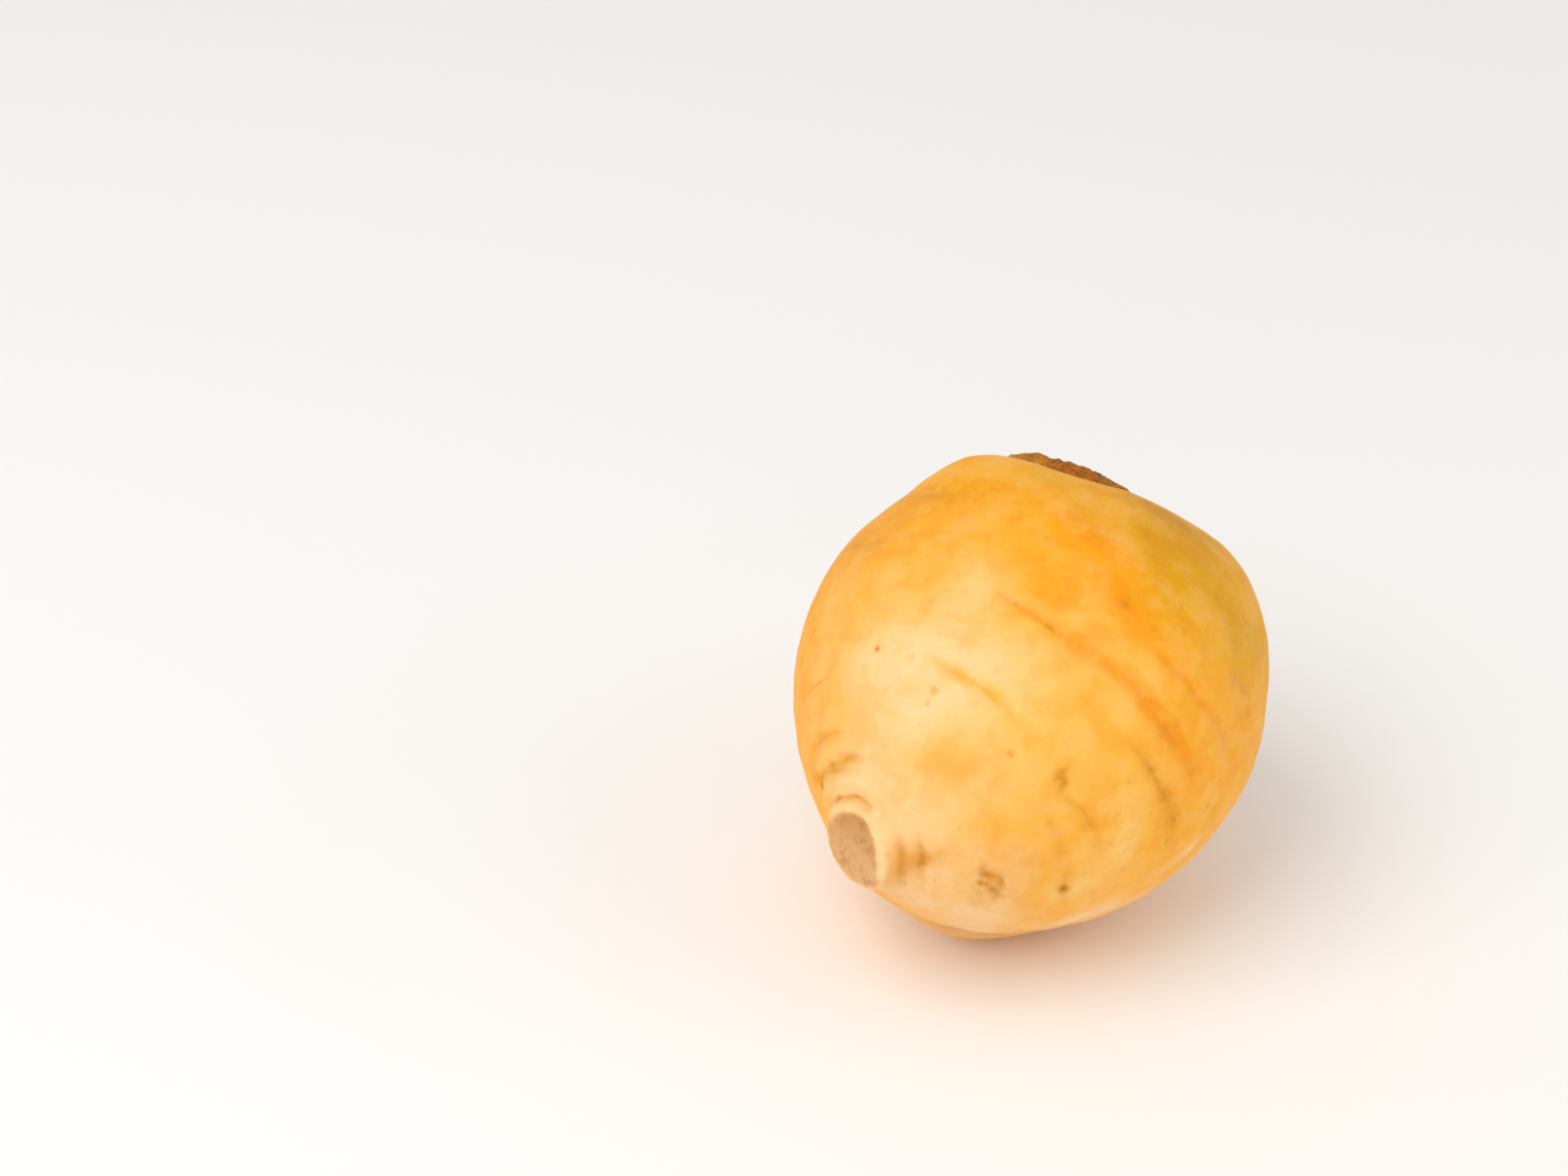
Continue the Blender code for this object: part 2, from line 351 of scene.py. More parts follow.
# Broad patches of colour on the golden skin: where, spread in degrees, screen colour and strength. The
# first group is placed by pixels of the picture, the second by azimuth and elevation on the far side. Three
# of the first group are painted light: a painted highlight on the cheek and painted bounce light
# underneath.
GOLD = linear(253, 178, 50)
SEEN_PATCHES = {
    "upper left": ((870, 565), 12.0, (247, 166, 18), 0.85),
    "top": ((985, 500), 12.0, (241, 166, 14), 0.85),
    "middle": ((1060, 725), 10.0, (255, 206, 116), 0.65),
    # Painted highlight: the cheek made paler where the soft key light's broad highlight falls.
    "painted highlight on the cheek": ((930, 695), 16.0, (255, 218, 162), 0.95),
    "towards the tail": ((900, 805), 12.0, (255, 207, 150), 0.80),
    "orange shoulder": ((1130, 590), 11.0, (255, 162, 18), 0.95),
    "orange above the crease": ((1180, 650), 7.0, (255, 168, 26), 0.60),
    "orange under the crown": ((1072, 535), 8.5, (255, 170, 0), 0.90),
    "paler before the crease": ((1084, 612), 4.5, (255, 204, 100), 0.60),
    "paler over the crease": ((1168, 700), 5.0, (255, 204, 104), 0.55),
    "orange left of the cheek": ((908, 632), 6.0, (254, 186, 76), 0.55),
    "duller cheek": ((920, 745), 5.0, (252, 196, 118), 0.50),
    "orange over the chin": ((992, 826), 6.5, (252, 178, 54), 0.75),
    "peach on the right": ((1150, 812), 7.0, (255, 206, 118), 0.45),
    "peach lower right": ((1125, 882), 5.5, (255, 214, 130), 0.65),
    "tan beside the folds": ((836, 795), 2.8, (232, 150, 26), 0.75),
    "green shoulder": ((1222, 586), 12.5, (232, 169, 6), 0.95),
    "green side": ((1272, 640), 9.0, (226, 168, 8), 0.85),
    "tan under the crown": ((1176, 535), 9.0, (224, 160, 10), 0.92),
    "right side": ((1228, 800), 10.0, (255, 178, 52), 0.80),
    # Painted bounce light: the underside made paler, as if lit from the bright floor below.
    "painted bounce light on the underside": ((1100, 940), 10.0, (255, 220, 172), 0.95),
    "tan chin": ((962, 905), 10.0, (246, 208, 156), 0.90),
    "tan right of the streaks": ((964, 876), 3.6, (236, 172, 92), 0.55),
    # Painted bounce light: the bottom edge under the chin made paler, as if lit from the floor.
    "painted bounce light under the chin": ((990, 944), 7.0, (248, 216, 172), 0.65),
    "bright fleck": ((1203, 876), 2.6, (255, 216, 166), 0.65),
    "reddish mark on the right": ((1266, 712), 3.0, (230, 158, 84), 0.60),
}
FAR_PATCHES = {
    "green back": ((40.0, 55.0), 18.0, (226, 164, 34), 0.70),
    "orange back": ((130.0, 10.0), 18.0, (250, 164, 30), 0.70),
    "pale back": ((50.0, -20.0), 20.0, (255, 206, 130), 0.65),
    "orange left": ((170.0, 15.0), 20.0, (250, 170, 44), 0.50),
    "pinkish left": ((160.0, -40.0), 20.0, (252, 200, 140), 0.65),
    "pale under": ((-20.0, -50.0), 20.0, (255, 206, 140), 0.60),
}
PATCH_RAGGEDNESS = (0.005, 0.018)
PATCH_SEEDS = (41, 42, 43)
CROWN_RING_COLOUR = linear(244, 188, 104)
CROWN_RING_SHARE = 0.6
CROWN_RING_OUT = 0.0325
CROWN_RING_FADE = 0.012
CROWN_RING_WAVES = (0.003, 0.016, 45)

# Lines on the skin, as the pixels they pass through in the picture: half widths at the start and the end,
# depth (below 0 it is a ridge), the screen colour and strength of the tint along the line, and the
# strength and half width of the brown crack in its bottom. Waves are a height, a wave length and a seed.
NO_CRACK = (0.0, 0.001)
CREASE_ORANGE = (248, 152, 14)
CREASE_TAN = (238, 158, 44)
FOLD_TAN = (222, 158, 50)
PALE_RIDGE = (255, 214, 156)
SEEN_LINES = {
    "long crease": (
        ((1045, 622), (1077, 644), (1102, 659), (1125, 674), (1144, 688), (1160, 704), (1173, 722),
         (1186, 739), (1196, 752), (1205, 764), (1212, 782), (1222, 796)),
        (0.0015, 0.0021), 0.00040, CREASE_ORANGE, 0.82, (0.18, 0.0005)),
    "start of the long crease": (
        ((1018, 604), (1026, 611), (1045, 622), (1059, 632), (1077, 644), (1094, 654)),
        (0.0011, 0.0014), 0.00020, (238, 160, 44), 0.66, (0.48, 0.00070)),
    "crease branch": (
        ((1166, 708), (1182, 722), (1196, 730), (1203, 737), (1192, 744)),
        (0.0006, 0.0007), 0.00014, CREASE_TAN, 0.50, (0.50, 0.0004)),
    "left crease": (
        ((955, 676), (962, 681), (976, 688), (997, 699), (1015, 713), (1031, 729), (1045, 745),
         (1068, 759)),
        (0.0009, 0.0020), 0.00022, (250, 180, 60), 0.80, (0.22, 0.0005)),
    "right crease": (
        ((1168, 653), (1187, 672), (1210, 695), (1226, 716), (1240, 736), (1251, 759), (1259, 786)),
        (0.0011, 0.0017), 0.00030, CREASE_ORANGE, 0.66, (0.15, 0.0005)),
    "low crease": (
        ((1155, 762), (1162, 770), (1176, 787), (1187, 810), (1194, 823), (1197, 842), (1196, 862)),
        (0.0011, 0.0017), 0.00028, (230, 158, 42), 0.72, (0.26, 0.0007)),
    "cork star": (
        ((1090, 781), (1083, 790), (1075, 797)),
        (0.0008, 0.0008), 0.00012, (212, 146, 42), 0.65, (0.50, 0.0007)),
    "foot of the cork star": (
        ((1083, 790), (1086, 798), (1080, 808)),
        (0.0007, 0.0007), 0.00010, (214, 148, 44), 0.75, (0.50, 0.0008)),
    "lower left crease": (
        ((1086, 812), (1094, 819), (1105, 828), (1118, 846), (1124, 866)),
        (0.0009, 0.0012), 0.00020, (240, 160, 48), 0.65, (0.30, 0.0006)),
    "bottom crease": (
        ((1066, 826), (1080, 858), (1087, 884), (1087, 902)),
        (0.0013, 0.0014), 0.00016, (246, 166, 56), 0.65, NO_CRACK),
    "band over the rosette": (
        ((1006, 832), (1012, 858), (1010, 884)),
        (0.0016, 0.0014), 0.00010, (246, 174, 66), 0.60, NO_CRACK),
    "first fold": (
        ((848, 822), (851, 817), (858, 815), (868, 814), (878, 816), (888, 824)),
        (0.00050, 0.00055), 0.00065, FOLD_TAN, 0.60, (0.72, 0.00050)),
    "rim of the scar": (
        ((846, 838), (850, 829), (860, 825), (872, 827), (884, 837)),
        (0.00070, 0.00070), -0.00035, PALE_RIDGE, 0.50, NO_CRACK),
    "second fold": (
        ((837, 812), (837, 799), (841, 789), (849, 782), (858, 776), (870, 774), (878, 775)),
        (0.00100, 0.00100), 0.00070, (224, 166, 36), 0.85, (0.42, 0.0008)),
    "fold between": (
        ((843, 796), (848, 789), (856, 786), (866, 787)),
        (0.00070, 0.00070), 0.00022, FOLD_TAN, 0.55, (0.25, 0.0005)),
    "swelling between the folds": (
        ((848, 803), (860, 798), (874, 798), (890, 804)),
        (0.00110, 0.00110), -0.00035, PALE_RIDGE, 0.45, NO_CRACK),
    "third fold": (
        ((828, 772), (837, 757), (850, 748), (860, 747)),
        (0.0007, 0.0007), 0.00034, (238, 166, 48), 0.55, (0.25, 0.0005)),
    "dark orange fleck": (
        ((1144, 613), (1150, 617)),
        (0.0013, 0.0013), 0.00008, (214, 136, 0), 0.85, (0.30, 0.0009)),
    "upper left mark": (
        ((858, 565), (880, 556), (912, 552)),
        (0.0016, 0.0011), 0.00014, (222, 152, 40), 0.60, (0.18, 0.0006)),
    "smear at the upper left": (
        ((910, 514), (928, 506), (946, 504), (968, 508)),
        (0.0022, 0.0016), 0.00006, (222, 154, 44), 0.55, NO_CRACK),
    "pit": (
        ((1086, 904), (1086, 908), (1086, 913)),
        (0.0009, 0.0009), 0.00025, (172, 104, 20), 0.90, (0.85, 0.0008)),
    "left mark": (
        ((818, 714), (830, 701), (848, 690)),
        (0.0006, 0.0006), 0.00012, (240, 168, 60), 0.55, (0.25, 0.0005)),
    "dotted mark": (
        ((839, 700), (840, 725), (838, 750), (836, 767), (834, 784)),
        (0.0006, 0.0006), 0.00008, (236, 176, 96), 0.45, (0.40, 0.0005)),
    "first streak": (
        ((918, 858), (920, 868), (921, 881), (919, 898)),
        (0.0009, 0.0011), 0.00018, (214, 144, 54), 0.90, (0.50, 0.0008)),
    "second streak": (
        ((939, 861), (942, 873), (941, 886)),
        (0.0011, 0.0010), 0.00018, (212, 142, 54), 0.85, (0.70, 0.0007)),
    "third streak": (
        ((929, 866), (931, 875), (930, 886)),
        (0.0020, 0.0018), 0.00005, (224, 154, 66), 0.80, (0.15, 0.0006)),
    "streak by the scar": (
        ((909, 866), (910, 886), (906, 904)),
        (0.0008, 0.0012), 0.00010, (236, 168, 74), 0.75, (0.20, 0.0005)),
    "upper rosette arc": (
        ((1002, 884), (1005, 890), (1011, 892), (1017, 894), (1021, 899), (1022, 904)),
        (0.0009, 0.0007), 0.00020, (218, 144, 46), 0.85, (0.60, 0.0008)),
    "middle rosette arc": (
        ((998, 897), (1003, 899), (1009, 902), (1013, 906), (1019, 911), (1023, 914)),
        (0.0007, 0.0007), 0.00014, (220, 152, 64), 0.75, (0.45, 0.0006)),
    "lower rosette arc": (
        ((990, 898), (995, 904), (1000, 909), (1003, 915)),
        (0.0007, 0.0006), 0.00010, (222, 168, 76), 0.60, (0.20, 0.0005)),
    "right rosette dash": (
        ((1016, 909), (1014, 921)),
        (0.0008, 0.0008), 0.00008, (224, 160, 80), 0.65, (0.15, 0.0005)),
    "left rosette dash": (
        ((995, 912), (994, 925)),
        (0.0008, 0.0007), 0.00008, (230, 172, 96), 0.60, (0.10, 0.0005)),
    # Darker tan along the bottom edge, with a paler tan band below it.
    "darker tan line along the bottom edge": (
        ((936, 936), (962, 945), (981, 950), (1011, 954), (1046, 952)),
        (0.0022, 0.0020), 0.00005, (190, 142, 90), 0.85, NO_CRACK),
    "paler tan band below the bottom line": (
        ((945, 942), (964, 950), (984, 955), (1011, 956), (1038, 952)),
        (0.0045, 0.0040), 0.0, (216, 168, 112), 0.70, NO_CRACK),
    "rough edge by the crown": (
        ((1146, 502), (1168, 515), (1193, 529), (1214, 542), (1236, 554)),
        (0.0042, 0.0024), 0.0, (202, 138, 46), 0.60, NO_CRACK),
    "callus beside the scar": (
        ((887, 836), (893, 852), (896, 870), (898, 890), (896, 904)),
        (0.0010, 0.0012), -0.00055, PALE_RIDGE, 0.85, NO_CRACK),
}
LINE_ENDS = (0.04, 0.96)
LINE_STRENGTH = 0.97
LINE_STRENGTH_WAVES = (0.16, 0.005, 11)
LINE_RAGGEDNESS = 0.3
LINE_RAGGED_WAVES = (0.0035, 12)
GROOVE_WIDTH = 0.7
LIP_HEIGHT = 0.6
LIP_OUT = 2.2
LIP_WIDTH = 1.4

# The far side's creases and specks are drawn by chance between two azimuths and two elevations.
FAR_SEED = 36
FAR_AZIMUTHS = (10.0, 190.0)
FAR_ELEVATIONS = (-45.0, 5.0)
FAR_CREASES = 9
FAR_CREASE_POINTS = 5
FAR_CREASE_HALF_LENGTHS = (5.0, 14.0)
FAR_CREASE_TILT = 0.2
FAR_CREASE_BEND = 0.4
FAR_CREASE_LOOK = ((0.0008, 0.0012), 0.00024, CREASE_TAN, 0.60, (0.30, 0.0005))
FAR_SPECKS = 18
FAR_SPECK_RADII = (0.0007, 0.0016)
FAR_SPECK_STRENGTHS = (0.45, 0.95)
FAR_SPECK_DEPTH = 0.0001

# Fine relief of the skin, which turns to rings round the tail, and the scar's rough face.
SKIN_WAVES = (0.00022, 0.022, 3)
SKIN_RIPPLES = (0.00007, 0.007, 5)
RING_HEIGHT = 0.00003
TAIL_RING_HEIGHT = 0.00013
TAIL_RING_START = 34.0
TAIL_RING_FADE = 20.0
RING_STRETCH = (1.0, 1.0, 5.0)
RING_WAVES = (0.014, 7)
SCAR_EDGE = 0.0005
SCAR_LUMPS = (0.00018, 0.0030, 21)
SCAR_GRAIN = (0.00010, 0.0012, 22)
SCAR_SHADE_HEIGHTS = (0.0340, 0.0470)
CALLUS_COVER = 0.0003

# Corky brown places on the skin: pixel in the picture, radius, strength, and depth of the pit, with the
# rim that a pit has. The skin sinks a little under all cork.
CORKY = (
    ((931, 875), 0.0024, 0.36, 0.0),
    ((960, 870), 0.0022, 0.35, 0.0),
    ((1012, 893), 0.0017, 0.60, 0.0001),
    ((1019, 898), 0.0012, 0.66, 0.0001),
    ((1002, 899), 0.0010, 0.62, 0.0),
    ((1006, 922), 0.0022, 0.32, 0.0),
    ((1086, 909), 0.0010, 1.10, 0.0003),
    ((1083, 904), 0.0026, 0.52, 0.0),
    ((1085, 918), 0.0016, 0.45, 0.0),
    ((1082, 792), 0.0028, 0.44, 0.0),
    ((1092, 818), 0.0014, 0.50, 0.0),
    ((1112, 844), 0.0020, 0.45, 0.0),
    ((1189, 741), 0.0020, 0.48, 0.0001),
    ((1200, 755), 0.0024, 0.46, 0.0001),
    ((1212, 782), 0.0026, 0.40, 0.0),
    ((1176, 787), 0.0020, 0.46, 0.0001),
    ((1189, 813), 0.0027, 0.58, 0.0001),
    ((1195, 836), 0.0028, 0.62, 0.0001),
    ((1192, 860), 0.0028, 0.48, 0.0),
    ((1268, 702), 0.0022, 0.62, 0.0001),
    ((1274, 727), 0.0018, 0.60, 0.0),
    ((1233, 823), 0.0014, 0.50, 0.0),
    ((837, 799), 0.0014, 1.00, 0.0002),
    ((895, 662), 0.0008, 1.05, 0.0001),
    ((1092, 554), 0.0012, 0.55, 0.0),
    ((1110, 545), 0.0012, 0.50, 0.0),
    ((953, 704), 0.0010, 0.75, 0.0),
    ((946, 718), 0.0008, 0.60, 0.0),
    ((1031, 770), 0.0011, 0.75, 0.0001),
    ((925, 504), 0.0016, 0.55, 0.0),
)
PIT_RIM_HEIGHT = 0.3
PIT_RIM_OUT = 1.8
PIT_RIM_WIDTH = 0.6
CORK_SINK = 0.00010
CORK_SINK_SHARE = 0.6
CORK_FULL = 1.2
CORK_WAVES = (1.0, 0.0018, 31)
ROSETTE = (1011, 903)
ROSETTE_RADIUS = 0.0030
ROSETTE_RIPPLE = 0.0014
ROSETTE_DEPTH = 0.00022
ROSETTE_WAVES = (0.0004, 0.003, 33)
# The crown's edge ring: painted contact shade, a thin dark ring where the crown meets the skin.
CROWN_SHADE_IN = 0.0006
CROWN_SHADE_WIDTH = 0.0009
CROWN_SHADE_STRENGTH = 0.75
CROWN_SHADE_WAVES = (0.5, 0.009, 34)
CROWN_SPECKS = 13
CROWN_SPECK_SEED = 35
CROWN_SPECK_OUT = (0.0004, 0.0052)
CROWN_SPECK_RADII = (0.0006, 0.0013)
CROWN_SPECK_STRENGTHS = (0.6, 1.1)


along = np.linspace(0.0, math.pi, ROOT_ROWS + 1)[1:-1]
along = along - ROOT_POLE_CROWDING * np.sin(2.0 * along) / 2.0
around = np.linspace(0.0, 2.0 * math.pi, ROOT_SIDES, endpoint=False)
around = around - ROOT_SIDE_CROWDING * np.sin(around - ROOT_CROWDED_TURN)
grid_along, grid_around = pole_grid(along, around, math.pi)
ways, straight_ways = bent_ways(grid_along, grid_around)
spots = ways * BALL_RADIUS
growth = straight_ways * BALL_RADIUS
from_tail = degrees_from(ways, TAIL_WAY)
from_seat = seat_plane(ways)[1]
reach = uncut_reach(ways)

# The broad colours: each patch is a bell round its middle, with a ragged edge, and a paler ring lies
# round the crown.
skin_colour = np.tile(GOLD, (len(ways), 1))
ragged = np.stack([wobble(spots, *PATCH_RAGGEDNESS, seed) for seed in PATCH_SEEDS], -1)
ragged_ways = unit(spots + ragged)
patches = [(seen_at(pixel)[0], *rest) for pixel, *rest in SEEN_PATCHES.values()]
patches += [(pointing(*place), *rest) for place, *rest in FAR_PATCHES.values()]
for middle, spread, colour, strength in patches:
    share = strength * np.exp((ragged_ways @ middle - 1.0) / math.radians(spread) ** 2)
    skin_colour += (linear(*colour) - skin_colour) * share[:, None]
ring_out = CROWN_RING_OUT + wobble(spots, *CROWN_RING_WAVES)
ring_share = CROWN_RING_SHARE * smooth_step((ring_out - from_seat) / CROWN_RING_FADE)
skin_colour += (CROWN_RING_COLOUR - skin_colour) * ring_share[:, None]

# Creases, folds and marks along lines: each is a groove with a soft lip on the crown's side, or a ridge,
# strongest in its middle, with its tint and a crack along it.
callus = np.zeros(len(ways))
crack = np.full(len(ways), FAR_OFF)
crack_strength = np.zeros(len(ways))
lines = [(seen_at(pixels), *rest) for pixels, *rest in SEEN_LINES.values()]
far_draw = np.random.default_rng(FAR_SEED)
for _ in range(FAR_CREASES):
    middle = pointing(far_draw.uniform(*FAR_AZIMUTHS), far_draw.uniform(*FAR_ELEVATIONS))
    tilt = far_draw.uniform(-FAR_CREASE_TILT, FAR_CREASE_TILT)
    run = unit(np.cross(CROWN_WAY, middle)) + tilt * CROWN_WAY
    half_length = math.radians(far_draw.uniform(*FAR_CREASE_HALF_LENGTHS))
    steps = half_length * np.linspace(-1.0, 1.0, FAR_CREASE_POINTS)[:, None]
    line = unit(middle + steps * run + FAR_CREASE_BEND * steps ** 2 * CROWN_WAY)
    lines.append((line, *FAR_CREASE_LOOK))
for line, half_widths, depth, tint, share, (crack_share, crack_half_width) in lines:
    gap, place, side = from_line(ways, smooth_line(line))
    half_width = half_widths[0] + (half_widths[1] - half_widths[0]) * place
    strength = LINE_STRENGTH + wobble(spots, *LINE_STRENGTH_WAVES)
    strength *= np.sin(math.pi * np.clip(place, *LINE_ENDS)) ** 0.5
    if depth < 0.0:
        callus -= depth * strength * bell(gap, half_width)
    else:
        reach -= depth * strength * bell(gap, GROOVE_WIDTH * half_width)
        lip = LIP_HEIGHT * depth * strength * (side > 0)
        reach += lip * bell(gap / half_width - LIP_OUT, LIP_WIDTH)
    ragged_gap = gap + wobble(spots, LINE_RAGGEDNESS * half_width, *LINE_RAGGED_WAVES)
    tint_share = np.clip(share * strength * bell(ragged_gap, half_width), 0.0, 1.0)
    skin_colour += (linear(*tint) - skin_colour) * tint_share[:, None]
    closer = (gap / crack_half_width < crack) & (crack_share > 0.0)
    crack = np.where(closer, gap / crack_half_width, crack)
    crack_strength = np.where(closer, crack_share * strength, crack_strength)

# Fine relief, then the flat cuts, the scar's rough face and the callus that has grown over its edge.
reach += wobble(spots, *SKIN_WAVES) + wobble(spots, *SKIN_RIPPLES)
near_tail = smooth_step((TAIL_RING_START - from_tail) / TAIL_RING_FADE)
reach += wobble(growth * RING_STRETCH, RING_HEIGHT + TAIL_RING_HEIGHT * near_tail, *RING_WAVES)
cut = cut_reach(ways, reach)
on_scar = smooth_step((reach - cut) / SCAR_EDGE) * (from_tail < SCAR_REGION)
tail_callus = callus * (from_tail < SCAR_REGION)
cut -= on_scar * (np.abs(wobble(spots, *SCAR_LUMPS)) + wobble(spots, *SCAR_GRAIN))
cut += tail_callus
on_scar *= 1.0 - np.clip(tail_callus / CALLUS_COVER, 0.0, 1.0)

# Corky places with their pits, the rippled rosette on the chin, and round the crown a thin ring of
# painted contact shade and the specks.
corky_marks = np.zeros(len(ways))
corky = [(seen_at(pixel)[0], *rest) for pixel, *rest in CORKY]
for _ in range(FAR_SPECKS):
    middle = pointing(far_draw.uniform(*FAR_AZIMUTHS), far_draw.uniform(*FAR_ELEVATIONS))
    radius = far_draw.uniform(*FAR_SPECK_RADII)
    corky.append((middle, radius, far_draw.uniform(*FAR_SPECK_STRENGTHS), FAR_SPECK_DEPTH))
for middle, radius, strength, depth in corky:
    gap = np.linalg.norm(ways - middle, axis=1) * BALL_RADIUS
    corky_marks = np.maximum(corky_marks, strength * bell(gap, radius))
    cut -= depth * bell(gap, radius)
    cut += PIT_RIM_HEIGHT * depth * bell(gap - PIT_RIM_OUT * radius, PIT_RIM_WIDTH * radius)
cut -= CORK_SINK * np.clip(corky_marks, 0.0, CORK_FULL) * (CORK_SINK_SHARE + wobble(spots, *CORK_WAVES))
gap = np.linalg.norm(ways - seen_at(ROSETTE)[0], axis=1) * BALL_RADIUS + wobble(spots, *ROSETTE_WAVES)
cut += ROSETTE_DEPTH * np.cos(2.0 * math.pi * gap / ROSETTE_RIPPLE) * bell(gap, ROSETTE_RADIUS)
# Painted contact shade: a thin dark ring at the crown's edge, laid in with the cork marks.
crown_contact_shade = bell(from_seat - SEAT_RADIUS + CROWN_SHADE_IN, CROWN_SHADE_WIDTH)
crown_contact_shade *= CROWN_SHADE_STRENGTH + wobble(spots, *CROWN_SHADE_WAVES)
corky_marks = np.maximum(corky_marks, crown_contact_shade)
seat_across = unit(np.cross(SEAT_WAY, (0.0, 0.0, 1.0)))
speck_draw = np.random.default_rng(CROWN_SPECK_SEED)
for _ in range(CROWN_SPECKS):
    turn = speck_draw.uniform(0.0, 2.0 * math.pi)
    out = SEAT_RADIUS + speck_draw.uniform(*CROWN_SPECK_OUT)
    speck_way = seat_across * math.cos(turn) + np.cross(SEAT_WAY, seat_across) * math.sin(turn)
    gap = np.linalg.norm(ways - unit(SEAT_MIDDLE + speck_way * out), axis=1) * SEAT_REACH
    mark = speck_draw.uniform(*CROWN_SPECK_STRENGTHS) * bell(gap, speck_draw.uniform(*CROWN_SPECK_RADII))
    corky_marks = np.maximum(corky_marks, mark)


def lay(tree, kind, inputs=None, **settings):
    """Add a shader node, set its settings, and link or set its inputs by name or number."""
    made = tree.nodes.new(kind)
    for setting, value in settings.items():
        setattr(made, setting, value)
    for socket, value in (inputs or {}).items():
        if isinstance(value, bpy.types.NodeSocket):
            tree.links.new(value, made.inputs[socket])
        else:
            made.inputs[socket].default_value = value
    return made


def attribute(tree, name, output="Fac"):
    """The value, or with output Vector the vector, that paint() stored under a name."""
    return lay(tree, "ShaderNodeAttribute", attribute_name=name).outputs[output]


def mixed(tree, share, first, second, blend="MIX"):
    """Two colours mixed by a share, each a socket or a colour of three numbers."""
    node = lay(tree, "ShaderNodeMix", data_type="RGBA", blend_type=blend)
    for index, value in ((0, share), (6, first), (7, second)):
        if isinstance(value, bpy.types.NodeSocket):
            tree.links.new(value, node.inputs[index])
        elif index == 0:
            node.inputs[index].default_value = value
        else:
            node.inputs[index].default_value = (*value, 1.0)
    return node.outputs[2]


def ranged(tree, value, low, high, to_low=0.0, to_high=1.0):
    """A value stretched from one range to another and held inside it, with soft ends."""
    inputs = {"Value": value, "From Min": low, "From Max": high, "To Min": to_low, "To Max": to_high}
    return lay(tree, "ShaderNodeMapRange", inputs, interpolation_type="SMOOTHSTEP").outputs["Result"]


def reckoned(tree, operation, first, second=0.0):
    """A sum, difference or other reckoning of two values."""
    return lay(tree, "ShaderNodeMath", {0: first, 1: second}, operation=operation).outputs[0]


def stretched(tree, vector, scale):
    """A place with its axes multiplied, so that a pattern is drawn out along the least multiplied."""
    return lay(tree, "ShaderNodeMapping", {"Vector": vector, "Scale": scale}).outputs["Vector"]


def product(tree, first, second):
    """Two values multiplied."""
    return reckoned(tree, "MULTIPLY", first, second)


def total(tree, first, second):
    """Two values added."""
    return reckoned(tree, "ADD", first, second)


def unevenness(tree, field, amount):
    """A noise less its middle, 0.5, times an amount."""
    return product(tree, reckoned(tree, "SUBTRACT", field, 0.5), amount)


def noise(tree, vector, scale, detail=3.0, roughness=0.5):
    """A cloudy noise about 0.5, with a scale in cells a metre."""
    inputs = {"Vector": vector, "Scale": scale, "Detail": detail, "Roughness": roughness}
    return lay(tree, "ShaderNodeTexNoise", inputs).outputs[0]


def bumped(tree, shader, height, strength, distance):
    """Raise the shader's normal by a height."""
    bump = lay(tree, "ShaderNodeBump", {"Strength": strength, "Distance": distance, "Height": height})
    tree.links.new(bump.outputs["Normal"], shader.inputs["Normal"])


